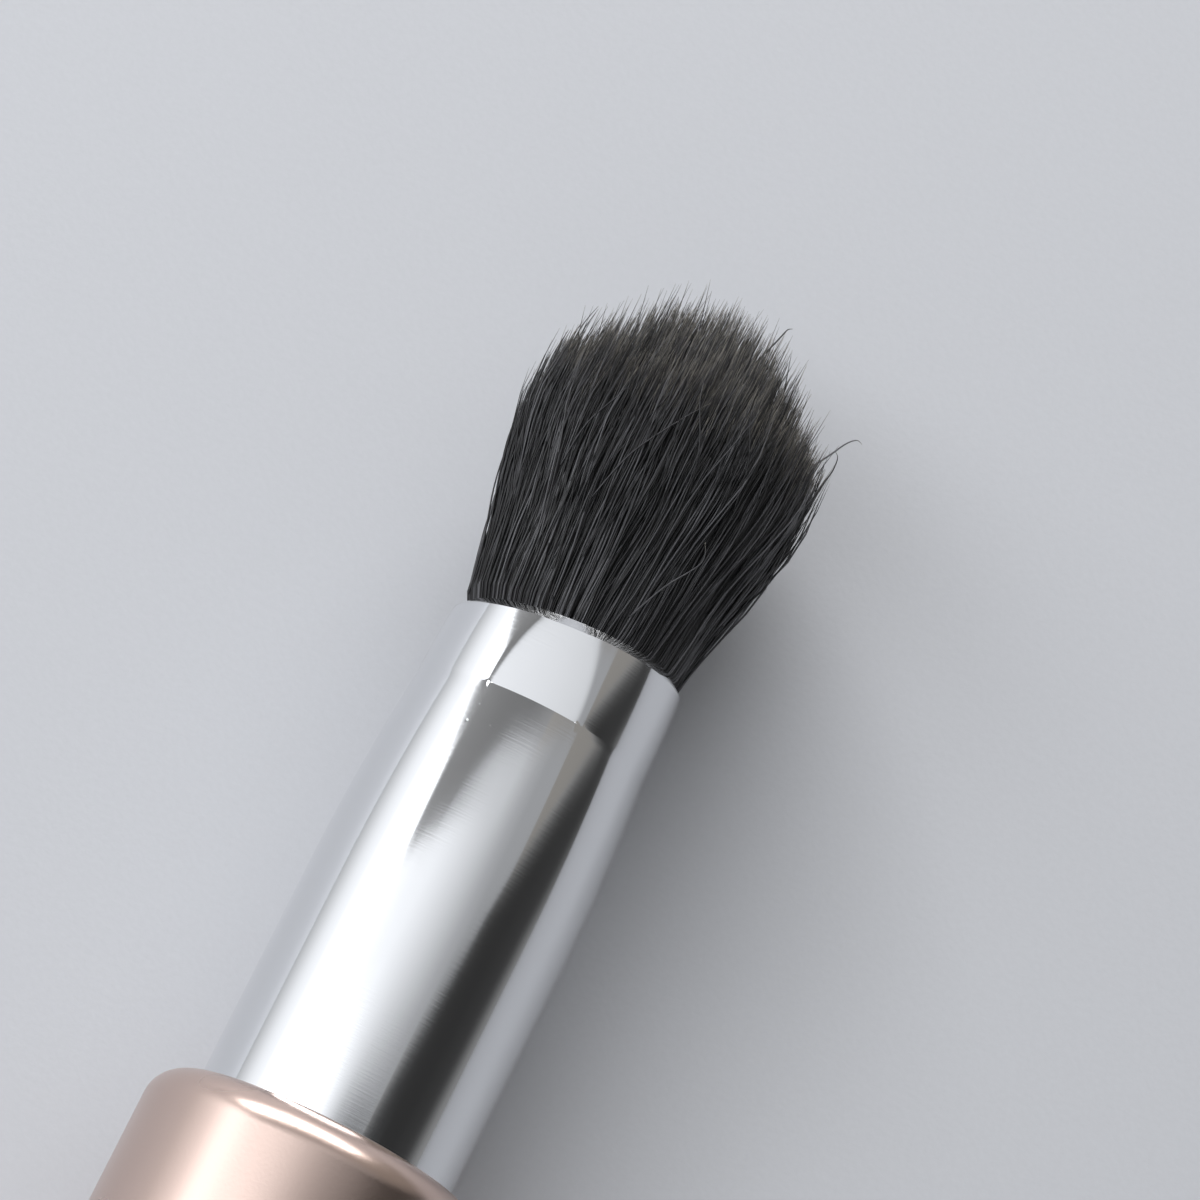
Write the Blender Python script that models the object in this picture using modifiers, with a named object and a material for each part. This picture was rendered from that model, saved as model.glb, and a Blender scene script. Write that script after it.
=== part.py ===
"""Eyeshadow brush: a domed synthetic tuft in a polished ferrule, on a rose-gold tube handle.

The brush lies along Y with the tip of its hair at +Y. The underside of its barrel touches z = 0,
and the origin is under the middle of its length. Every piece hangs on one empty on the brush's
axis, whose local Z runs to the tip, and is drawn in radii and stations: a station is a distance
along the axis from the mouth of the ferrule, positive towards the tip.
"""

import math

import bmesh
import bpy
from mathutils.geometry import delaunay_2d_cdt

MM = 0.001

# Flats round the brush, one of them underneath, and the sharpest edge that is shaded smooth
SIDES = 28
HALF_STEP = math.pi / SIDES
SMOOTH_UP_TO = math.radians(35.0)
MERGE_DISTANCE = 0.001 * MM

# Clearances round and behind a piece in its bore
FIT_GAP = 0.05 * MM
SEAT_GAP = 0.1 * MM

# Ferrule
FERRULE_DIAMETER = 8.0 * MM
FERRULE_WALL = 0.4 * MM
FERRULE_SHOWN = 16.3 * MM
FERRULE_INSERT = 9.0 * MM
MOUTH_DROP = 0.8 * MM
MOUTH_ROUND = 0.7 * MM
MOUTH_WALL = 0.55 * MM
MOUTH_LAND = 1.1 * MM
NOSE_LENGTH = 2.75 * MM
NOSE_RISE = 0.08 * MM
CONE_LENGTH = 5.25 * MM

# Handle tube
HANDLE_WALL = 1.2 * MM
LIP_FLAT = 0.1 * MM
BARREL_LENGTH = 80.0 * MM
TAPER_LENGTH = 58.5 * MM
BUTT_DIAMETER = 5.2 * MM
TAPER_POWER = 1.7
TAPER_STEPS = 8

# End cap
CAP_HEAD = 1.5 * MM
CAP_PLUG = 6.0 * MM
CAP_ROUND_SHARE = 0.7

# Insert that joins ferrule and handle
CORE_LENGTH = 30.0 * MM
CORE_CHAMFER = 0.5 * MM
CORE_WALL = 1.6 * MM
CORE_POCKET = 22.0 * MM
TENON_GLUE = 0.2 * MM
TENON_VOID = 4.2 * MM
GLUE_GROOVE_WIDTH = 1.2 * MM
GLUE_GROOVE_DEPTH = 0.25 * MM
GLUE_GROOVE_SHARES = (0.3, 0.6)

# Root of the tuft and its binding
ROOT_RECESS = 0.15 * MM
ROOT_COLLAR = 2.2 * MM
ROOT_TAPER = 0.8 * MM
ROOT_HEEL = 1.4 * MM
THREAD_DIAMETER = 0.36 * MM
THREAD_PITCH = 0.8 * MM
THREAD_TURNS = 4
POINTS_PER_TURN = 24
PLUG_START = 2.0 * MM
PLUG_FLOOR = 1.0 * MM

# Hair
STRANDS = 360
HAIR_EDGE = 0.2 * MM
FLARE_SWELL = 0.05 * MM
BELLY_SWELL = 1.75 * MM
FLARE_REACH = 1.2 * MM
BELLY_REACH = 5.1 * MM
SHOULDER_REACH = 1.7 * MM
DOME_HEIGHT = 3.5 * MM
UNEVEN_TIPS = 0.45 * MM
STRAND_POINT = 1.8 * MM
STRAND_SHARE = 0.78
TIP_DRAW_SHARE = 0.08

# Sizes that follow from those above
FERRULE_RADIUS = FERRULE_DIAMETER / 2
FERRULE_BORE = FERRULE_RADIUS - FERRULE_WALL
MOUTH_RADIUS = (FERRULE_DIAMETER - MOUTH_DROP) / 2
MOUTH_BORE = MOUTH_RADIUS - MOUTH_WALL
NOSE_RADIUS = MOUTH_RADIUS + NOSE_RISE
CONE_END = NOSE_LENGTH + CONE_LENGTH
FERRULE_LENGTH = FERRULE_SHOWN + FERRULE_INSERT
HANDLE_BORE = FERRULE_RADIUS + FIT_GAP
HANDLE_RADIUS = HANDLE_BORE + HANDLE_WALL
BUTT_RADIUS = BUTT_DIAMETER / 2
HANDLE_LENGTH = BARREL_LENGTH + TAPER_LENGTH + SEAT_GAP + CAP_HEAD
FLARE_RADIUS = MOUTH_RADIUS + FLARE_SWELL / 2
BELLY_RADIUS = MOUTH_RADIUS + BELLY_SWELL / 2
BELLY_STATION = FLARE_REACH + BELLY_REACH
TUFT_LENGTH = BELLY_STATION + SHOULDER_REACH + DOME_HEIGHT
OVERALL_LENGTH = HANDLE_LENGTH + FERRULE_SHOWN + TUFT_LENGTH
ROOT_RADIUS = MOUTH_BORE - 2 * FIT_GAP
BINDING_LENGTH = (THREAD_TURNS + 1) * THREAD_PITCH
ROOT_LENGTH = ROOT_COLLAR + 2 * ROOT_TAPER + BINDING_LENGTH + ROOT_HEEL
PLUG_END = ROOT_RECESS + ROOT_LENGTH + SEAT_GAP + PLUG_FLOOR
TENON_RADIUS = FERRULE_BORE - TENON_GLUE - 2 * FIT_GAP
TENON_FRONT = PLUG_END + TENON_VOID
CORE_SHOULDER = FERRULE_LENGTH + SEAT_GAP

# Place of the mouth, with the barrel's lowest facet at z = 0
MOUTH_Y = OVERALL_LENGTH / 2 - TUFT_LENGTH
AXIS_Z = HANDLE_RADIUS * math.cos(HALF_STEP)


def clear_scene():
    """Start from a scene without objects."""
    for obj in list(bpy.data.objects):
        bpy.data.objects.remove(obj, do_unlink=True)


def make_material(name, colour, metallic, roughness):
    """Return a Principled material of one colour."""
    material = bpy.data.materials.new(name)
    material.use_nodes = True
    shader = material.node_tree.nodes["Principled BSDF"]
    shader.inputs["Base Color"].default_value = (*colour, 1.0)
    shader.inputs["Metallic"].default_value = metallic
    shader.inputs["Roughness"].default_value = roughness
    return material


def add_piece(name, mesh, material):
    """Put a mesh on the brush's axis as one named piece."""
    piece = bpy.data.objects.new(name, mesh)
    mesh.materials.append(material)
    piece.parent = brush_axis
    brush.objects.link(piece)
    return piece


def settle(piece):
    """Turn a piece's modifiers or curve into a plain mesh, with its round faces smooth."""
    depsgraph = bpy.context.evaluated_depsgraph_get()
    mesh = bpy.data.meshes.new_from_object(piece.evaluated_get(depsgraph))
    mesh.name = piece.name
    piece.modifiers.clear()
    piece.data = mesh
    mesh.shade_smooth()
    mesh.set_sharp_from_angle(angle=SMOOTH_UP_TO)


def arc(radius, station, size, start, end, steps):
    """Return points on an arc round (radius, station), its angles in degrees."""
    points = []
    for step in range(steps + 1):
        angle = math.radians(start + (end - start) * step / steps)
        points.append((radius + size * math.cos(angle), station + size * math.sin(angle)))
    return points


def turn(name, outline, material, closed=True):
    """Turn an outline of (radius, station) points about the axis, its outer side run downwards."""
    corners = [(r * math.cos(HALF_STEP), r * math.sin(HALF_STEP), s) for r, s in outline]
    edges = [(i, i + 1) for i in range(len(corners) - 1)]
    if closed:
        edges.append((len(corners) - 1, 0))
    mesh = bpy.data.meshes.new(name)
    mesh.from_pydata(corners, edges, [])
    piece = add_piece(name, mesh, material)
    screw = piece.modifiers.new("Turn", 'SCREW')
    screw.axis = 'Z'
    screw.angle = 2 * math.pi
    screw.steps = SIDES
    screw.render_steps = SIDES
    screw.use_merge_vertices = True
    screw.merge_threshold = MERGE_DISTANCE
    settle(piece)
    return piece


def bore_radius(station):
    """Return the radius of the ferrule's bore at a station in its cone or its straight part."""
    share = min(1.0, max(0.0, (-station - NOSE_LENGTH) / CONE_LENGTH))
    return NOSE_RADIUS + share * (FERRULE_RADIUS - NOSE_RADIUS) - FERRULE_WALL


def make_ferrule(material):
    """Drawn tube: rolled mouth, short straight nose, shallow cone, straight barrel."""
    round_centre = MOUTH_RADIUS - MOUTH_ROUND
    lip_angle = math.degrees(math.acos((MOUTH_BORE - round_centre) / MOUTH_ROUND))
    outline = arc(round_centre, -MOUTH_ROUND, MOUTH_ROUND, lip_angle, 0.0, 6)
    outline += [(NOSE_RADIUS, -NOSE_LENGTH), (FERRULE_RADIUS, -CONE_END), (FERRULE_RADIUS, -FERRULE_LENGTH)]
    outline += [(FERRULE_BORE, -FERRULE_LENGTH), (FERRULE_BORE, -CONE_END)]
    outline += [(bore_radius(-NOSE_LENGTH), -NOSE_LENGTH), (MOUTH_BORE, -MOUTH_LAND)]
    turn("ferrule", outline, material)


def make_handle_shell(material):
    """Tube with a rounded front lip, a straight barrel and a tail that thins to the butt."""
    lip = -FERRULE_SHOWN
    lip_round = HANDLE_WALL - LIP_FLAT
    barrel_end = lip - BARREL_LENGTH
    outside = arc(HANDLE_RADIUS - lip_round, lip - lip_round, lip_round, 90.0, 0.0, 5)
    inside = []
    for step in range(TAPER_STEPS + 1):
        share = step / TAPER_STEPS
        radius = HANDLE_RADIUS - (HANDLE_RADIUS - BUTT_RADIUS) * share ** TAPER_POWER
        station = barrel_end - TAPER_LENGTH * share
        outside.append((radius, station))
        inside.append((radius - HANDLE_WALL, station))
    turn("handle_shell", outside + inside[::-1] + [(HANDLE_BORE, lip)], material)


def make_end_cap(material):
    """Turned cap: a flat butt with a rounded rim, and a plug that is pressed into the tail."""
    seat = -FERRULE_SHOWN - BARREL_LENGTH - TAPER_LENGTH - SEAT_GAP
    butt = seat - CAP_HEAD
    rim = CAP_HEAD * CAP_ROUND_SHARE
    plug = BUTT_RADIUS - HANDLE_WALL - FIT_GAP
    outline = [(0.0, seat + CAP_PLUG), (plug, seat + CAP_PLUG), (plug, seat), (BUTT_RADIUS, seat)]
    outline += arc(BUTT_RADIUS - rim, butt + rim, rim, 0.0, -90.0, 4)
    outline.append((0.0, butt))
    turn("end_cap", outline, material, closed=False)


def make_handle_core(material):
    """Moulded insert: grooved tenon for the ferrule, body for the tube, cored out from behind."""
    body = HANDLE_BORE - FIT_GAP
    tail = CORE_SHOULDER + CORE_LENGTH
    tenon_length = CORE_SHOULDER - TENON_FRONT
    outline = [(0.0, -TENON_FRONT), (TENON_RADIUS, -TENON_FRONT)]
    for share in GLUE_GROOVE_SHARES:
        groove = TENON_FRONT + tenon_length * share
        outline.append((TENON_RADIUS, -groove))
        outline.append((TENON_RADIUS - GLUE_GROOVE_DEPTH, -groove))
        outline.append((TENON_RADIUS - GLUE_GROOVE_DEPTH, -groove - GLUE_GROOVE_WIDTH))
        outline.append((TENON_RADIUS, -groove - GLUE_GROOVE_WIDTH))
    outline += [(TENON_RADIUS, -CORE_SHOULDER), (body, -CORE_SHOULDER)]
    outline += [(body, -tail + CORE_CHAMFER), (body - CORE_CHAMFER, -tail)]
    outline += [(body - CORE_WALL, -tail), (body - CORE_WALL, -tail + CORE_POCKET), (0.0, -tail + CORE_POCKET)]
    turn("handle_core", outline, material, closed=False)


def make_tenon_adhesive(material):
    """Thin sleeve of glue between the tenon and the ferrule's bore."""
    front = -TENON_FRONT - SEAT_GAP
    back = -FERRULE_LENGTH + SEAT_GAP
    outer = FERRULE_BORE - FIT_GAP
    inner = TENON_RADIUS + FIT_GAP
    turn("tenon_adhesive", [(outer, front), (outer, back), (inner, back), (inner, front)], material)


def make_root_adhesive(material):
    """Epoxy cup that holds the bound roots in the ferrule's cone."""
    pocket = ROOT_RADIUS + FIT_GAP
    floor = -ROOT_RECESS - ROOT_LENGTH - SEAT_GAP
    front = -max(PLUG_START + ROOT_RECESS, NOSE_LENGTH)
    cone_end = min(CONE_END, PLUG_END)
    outline = [(0.0, floor), (pocket, floor), (pocket, front)]
    outline += [(bore_radius(front) - FIT_GAP, front), (bore_radius(-cone_end) - FIT_GAP, -cone_end)]
    if PLUG_END > cone_end:
        outline.append((bore_radius(-PLUG_END) - FIT_GAP, -PLUG_END))
    outline.append((0.0, -PLUG_END))
    turn("root_adhesive", outline, material, closed=False)


def make_binding_thread(material):
    """Thread wound round the waist of the roots as one open helix."""
    radius = ROOT_RADIUS - THREAD_DIAMETER / 2
    start = -ROOT_RECESS - ROOT_COLLAR - ROOT_TAPER - THREAD_PITCH / 2
    points = []
    for step in range(THREAD_TURNS * POINTS_PER_TURN + 1):
        turns = step / POINTS_PER_TURN
        angle = 2 * math.pi * turns
        points.append((radius * math.cos(angle), radius * math.sin(angle), start - turns * THREAD_PITCH))
    curve = bpy.data.curves.new("binding_thread", 'CURVE')
    curve.dimensions = '3D'
    curve.bevel_depth = THREAD_DIAMETER / 2
    curve.bevel_resolution = 1
    curve.use_fill_caps = True
    spline = curve.splines.new('POLY')
    spline.points.add(len(points) - 1)
    for point, place in zip(spline.points, points):
        point.co = (*place, 1.0)
    add_piece("binding_thread", curve, material)
    later = POINTS_PER_TURN // 2
    nearest = min(math.dist(a, b) for i, a in enumerate(points) for b in points[i + later:])
    print(f"binding_thread: least gap to itself {(nearest - THREAD_DIAMETER) / MM:.2f} mm")


def strand_places():
    """Return each strand's centre on a unit disc, on a sunflower spiral."""
    golden_angle = math.pi * (3.0 - math.sqrt(5.0))
    places = []
    for number in range(STRANDS):
        radius = math.sqrt((number + 0.5) / STRANDS)
        angle = number * golden_angle
        places.append((radius * math.cos(angle), radius * math.sin(angle)))
    return places


def tip_station(share, number):
    """Return how far a strand reaches: an ellipse over the belly, less a little unevenness."""
    dome = DOME_HEIGHT * math.sqrt(1.0 - share * share)
    uneven = UNEVEN_TIPS * ((number * 0.618034) % 1.0) * share
    return BELLY_STATION + SHOULDER_REACH + dome - uneven


def spread_at(station):
    """Return how far from the axis the outermost strand's centre lies at a station past the flare."""
    flare = FLARE_RADIUS - HAIR_EDGE
    belly = BELLY_RADIUS - HAIR_EDGE
    if station < BELLY_STATION:
        return flare + (belly - flare) * (station - FLARE_REACH) / BELLY_REACH
    return belly * (1.0 - TIP_DRAW_SHARE * (station - BELLY_STATION) / DOME_HEIGHT)


def make_bristle_tuft(material):
    """Three-sided strands that flare from the root disc, swell, and end in points on a dome."""
    places = strand_places()
    root_plane = -ROOT_RECESS
    root_spread = ROOT_RADIUS - HAIR_EDGE
    strand_radius = STRAND_SHARE * root_spread / math.sqrt(STRANDS)
    rim = []
    for side in range(SIDES):
        angle = HALF_STEP + 2 * math.pi * side / SIDES
        rim.append((ROOT_RADIUS * math.cos(angle), ROOT_RADIUS * math.sin(angle)))
    corners = list(rim)
    outlines = [list(range(SIDES))]
    for number, (x, y) in enumerate(places):
        outlines.append([len(corners) + corner for corner in range(3)])
        for corner in range(3):
            angle = 2 * math.pi * corner / 3 + number
            corners.append((x * root_spread + strand_radius * math.cos(angle),
                            y * root_spread + strand_radius * math.sin(angle)))
    flat = delaunay_2d_cdt(corners, [], outlines, 1, MERGE_DISTANCE / 10, True)
    flat_corners, _, flat_faces, _, _, face_owners = flat

    bm = bmesh.new()
    verts = [bm.verts.new((corner.x, corner.y, root_plane)) for corner in flat_corners]
    strands = []
    for face, owners in zip(flat_faces, face_owners):
        made = bm.faces.new([verts[index] for index in face])
        owner = max(owners)
        if owner > 0:
            strands.append((owner - 1, made))
    rim_edges = [edge for edge in bm.edges if len(edge.link_faces) == 1]

    for number, face in strands:
        centre_x = places[number][0] * root_spread
        centre_y = places[number][1] * root_spread
        share = math.hypot(*places[number])
        reach = tip_station(share, number)
        top = face
        spread = root_spread
        for station in (FLARE_REACH, reach - STRAND_POINT):
            made = bmesh.ops.extrude_face_region(bm, geom=[top])["geom"]
            growth = spread_at(station) / spread
            bm.faces.remove(top)
            top = [item for item in made if isinstance(item, bmesh.types.BMFace)][0]
            for vert in top.verts:
                vert.co = (vert.co.x * growth, vert.co.y * growth, station)
            spread = spread_at(station)
        point = bmesh.ops.poke(bm, faces=[top])["verts"][0]
        growth = spread_at(reach) / root_spread
        point.co = (centre_x * growth, centre_y * growth, reach)

    waist = ROOT_RADIUS - THREAD_DIAMETER - FIT_GAP
    collar_end = root_plane - ROOT_COLLAR
    waist_start = collar_end - ROOT_TAPER
    waist_end = waist_start - BINDING_LENGTH
    root_end = root_plane - ROOT_LENGTH
    sleeve = [(ROOT_RADIUS, collar_end), (waist, waist_start), (waist, waist_end)]
    sleeve += [(ROOT_RADIUS, waist_end - ROOT_TAPER), (ROOT_RADIUS, root_end)]
    radius = ROOT_RADIUS
    for next_radius, station in sleeve:
        made = bmesh.ops.extrude_edge_only(bm, edges=rim_edges)["geom"]
        rim_edges = [item for item in made if isinstance(item, bmesh.types.BMEdge)]
        for vert in {vert for edge in rim_edges for vert in edge.verts}:
            scale = next_radius / radius
            vert.co = (vert.co.x * scale, vert.co.y * scale, station)
        radius = next_radius
    bmesh.ops.edgeloop_fill(bm, edges=rim_edges)
    bmesh.ops.recalc_face_normals(bm, faces=bm.faces)
    mesh = bpy.data.meshes.new("bristle_tuft")
    bm.to_mesh(mesh)
    bm.free()
    mesh.shade_smooth()
    mesh.set_sharp_from_angle(angle=SMOOTH_UP_TO)
    add_piece("bristle_tuft", mesh, material)
    print(f"bristle_tuft: {len(strands)} strands")


clear_scene()
brush = bpy.data.collections.new("Eyeshadow brush")
bpy.context.scene.collection.children.link(brush)
brush_axis = bpy.data.objects.new("brush_axis", None)
brush_axis.location = (0.0, MOUTH_Y, AXIS_Z)
brush_axis.rotation_euler = (-math.pi / 2, 0.0, 0.0)
brush.objects.link(brush_axis)

rose_gold = make_material("rose gold anodised aluminium", (0.62, 0.42, 0.35), 1.0, 0.32)
polished = make_material("polished aluminium", (0.91, 0.92, 0.93), 1.0, 0.08)
black_fibre = make_material("black synthetic fibre", (0.02, 0.02, 0.021), 0.0, 0.45)
cotton = make_material("waxed thread", (0.75, 0.72, 0.64), 0.0, 0.8)
epoxy = make_material("epoxy", (0.70, 0.58, 0.32), 0.0, 0.25)
moulded = make_material("moulded insert", (0.80, 0.80, 0.78), 0.0, 0.5)

make_bristle_tuft(black_fibre)
make_binding_thread(cotton)
make_root_adhesive(epoxy)
make_ferrule(polished)
make_tenon_adhesive(epoxy)
make_handle_core(moulded)
make_handle_shell(rose_gold)
make_end_cap(rose_gold)
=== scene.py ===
import math

import bmesh
import bpy
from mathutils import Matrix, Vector


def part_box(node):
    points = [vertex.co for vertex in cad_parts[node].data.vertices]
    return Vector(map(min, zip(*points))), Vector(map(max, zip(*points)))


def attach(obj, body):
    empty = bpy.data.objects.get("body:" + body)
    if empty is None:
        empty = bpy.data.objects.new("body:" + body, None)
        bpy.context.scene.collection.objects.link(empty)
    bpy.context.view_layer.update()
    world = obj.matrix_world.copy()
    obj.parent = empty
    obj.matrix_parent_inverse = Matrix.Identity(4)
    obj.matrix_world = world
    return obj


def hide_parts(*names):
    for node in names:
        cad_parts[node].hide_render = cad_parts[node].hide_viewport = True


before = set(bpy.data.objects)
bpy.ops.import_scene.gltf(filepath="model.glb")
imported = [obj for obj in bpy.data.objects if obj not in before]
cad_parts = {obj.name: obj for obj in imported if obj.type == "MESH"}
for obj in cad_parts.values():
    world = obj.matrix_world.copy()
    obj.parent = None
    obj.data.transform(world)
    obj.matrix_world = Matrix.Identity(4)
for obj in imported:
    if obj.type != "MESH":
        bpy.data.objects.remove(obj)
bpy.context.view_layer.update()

MM = 0.001

# The CAD pieces are turned in 28 flats, so half the side of their box is this share of the radius
FACETS = 28
FLAT_SHARE = math.cos(math.pi / FACETS)


def true_radius(node):
    """Return the radius of a turned CAD node, out to the corners between its flats."""
    low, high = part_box(node)
    return (high.x - low.x) / 2 / FLAT_SHARE


# Sizes that the frame gives. A station is a distance along the brush from the ferrule's mouth.
shell_low, shell_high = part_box("handle_shell")
cap_low, cap_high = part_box("end_cap")
AXIS_Z = (shell_low.z + shell_high.z) / 2
MOUTH_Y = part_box("ferrule")[1].y
FERRULE_RADIUS = true_radius("ferrule")
FERRULE_END = MOUTH_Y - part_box("ferrule")[0].y
HANDLE_RADIUS = true_radius("handle_shell")
HANDLE_START = MOUTH_Y - shell_high.y
HANDLE_END = MOUTH_Y - shell_low.y
BUTT_RADIUS = true_radius("end_cap")
BUTT_END = MOUTH_Y - cap_low.y
CAP_TOP = MOUTH_Y - cap_high.y
TUFT_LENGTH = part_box("bristle_tuft")[1].y - MOUTH_Y
BELLY_RADIUS = true_radius("bristle_tuft")
ROOT_RADIUS = true_radius("binding_thread")
ROOT_END = MOUTH_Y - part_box("bristle_tuft")[0].y
THREAD_START = MOUTH_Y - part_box("binding_thread")[1].y
THREAD_END = MOUTH_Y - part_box("binding_thread")[0].y
FLOOR_Z = AXIS_Z - HANDLE_RADIUS

# Ferrule
FERRULE_WALL = 0.4 * MM
MOUTH_RADIUS = 3.35 * MM
MOUTH_BORE = 3.2 * MM
MOUTH_BEVEL = 0.28 * MM
NOSE_FRONT = 3.6 * MM
MOUTH_LAND = 1.1 * MM
NOSE_RADIUS = 3.7 * MM
NOSE_LENGTH = 2.75 * MM
FLARE_LENGTH = 6.25 * MM
CREASE_STEP = 0.015 * MM
CURVE_STEPS = 24
EDGE_ROUND = 0.06 * MM
MOUTH_SLANT = math.tan(math.radians(4.5))
# Pits as distance to the right, station and height above the axis, in mm
PITS = ((-1.2, 3.5, 3.6), (-1.3, 4.08, 3.58), (-0.59, 4.0, 3.76))
PIT_RADIUS = 0.06 * MM
PIT_DEPTH = 0.0024 * MM
DENT_DEPTH = 0.21 * MM
DENT_SLOPE = -0.01
DENT_RADIUS = 15.0 * MM
DENT_TURN = math.radians(3)
DENT_SOFTNESS = 0.02 * MM

# Handle
HANDLE_WALL = 1.2 * MM
BARREL_LENGTH = 80.0 * MM
LIP_ROUND = 1.1 * MM
LIP_INNER_ROUND = 0.08 * MM
TAPER_POWER = 1.7
TAPER_STEPS = 24
CAP_HEAD = 1.5 * MM
CAP_ROUND = 1.0 * MM
FIT_GAP = 0.05 * MM

# Bundle of the roots
THREAD_DIAMETER = 0.36 * MM
WAIST_SLOPE = 0.8 * MM

# Turning
SIDES_ROUND = 192
FERRULE_SIDES = 384
STEPS_PER_ROUND = 14
SHARPEST_SMOOTH = math.radians(25)
MERGE_DISTANCE = 0.0005 * MM

# Hair
FILAMENT_DIAMETER = 0.058 * MM
FILAMENT_POINTS = 10
FILAMENT_SIDES = 4
ROOT_START = -0.6 * MM
TIP_STATION = TUFT_LENGTH + 0.55 * MM
DOME_FALL = 3.5 * MM
DOME_POWER = 1.6
TAPER_REACH = 2.4 * MM
TIP_THICKNESS_SHARE = 0.1
THINNEST_SHARE = 0.85
THICKEST_SHARE = 1.1
FADE_REACH = 0.7 * MM
TUFT_LEAN = 0.02 * MM
TUFT_SLANT = 0.005
# Stations and radii of the tuft's outline, in mm
TUFT_OUTLINE = ((-0.6, 3.0), (-0.2, 3.12), (0.05, 3.34), (0.5, 3.44), (1.2, 3.53), (2.0, 3.62), (3.0, 3.78),
                (4.0, 3.98), (5.0, 4.16), (6.0, 4.29), (7.0, 4.35), (8.5, 4.36), (11.8, 4.25))
# Places in the bundle are counted in tuft radii, and a lock scale is the number of locks along one
GOLDEN_ANGLE = math.pi * (3 - math.sqrt(5))
PLACE_DISORDER = 0.013
SMALL_LOCK_SCALE = 15.0
LARGE_LOCK_SCALE = 6.5
LARGE_LOCK_PULL = 0.45
GATHER_REACH = 6.0 * MM
ODDNESS_POWER = 3.0
WAVE_START = 4.0 * MM
OWN_WAVE_SCALE = 45.0
OWN_WAVE_RATE = 5.5
SHARED_WAVE_SCALE = 5.0
SHARED_WAVE_RATE = 25.0
HAIR_LAYERS = (
    {"name": "tuft_core", "filaments": 2300, "inner_share": 0.0, "outer_share": 0.73, "seed": 1,
     "unevenness": 0.65 * MM, "gathering": 0.35, "straying": 0.5 * MM, "waving": 0.6 * MM},
    {"name": "tuft_middle", "filaments": 2300, "inner_share": 0.72, "outer_share": 0.9, "seed": 4,
     "unevenness": 0.85 * MM, "gathering": 0.4, "straying": 0.6 * MM, "waving": 0.7 * MM},
    {"name": "tuft_coat", "filaments": 2300, "inner_share": 0.88, "outer_share": 0.985, "seed": 2,
     "unevenness": 1.0 * MM, "gathering": 0.45, "straying": 0.8 * MM, "waving": 0.8 * MM},
    {"name": "tuft_skin", "filaments": 1500, "inner_share": 0.9, "outer_share": 1.0, "seed": 6,
     "unevenness": 1.2 * MM, "gathering": 0.6, "straying": 1.1 * MM, "waving": 1.0 * MM},
    {"name": "tuft_strays", "filaments": 240, "inner_share": 0.3, "outer_share": 1.0, "seed": 3,
     "unevenness": 0.1 * MM, "gathering": 0.1, "straying": 1.0 * MM, "waving": 1.2 * MM,
     "tip_station": TIP_STATION + 0.3 * MM},
)

# Loose hairs
LOOSE_TIP_THINNING = 0.85
LOOSE_FADE_SHARE = 0.75
THREAD_PHASE = 0.9
KNOT_PHASE = 1.3
LOCK_STAGGER = 0.25
HAIR_STEPS = 5
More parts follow.
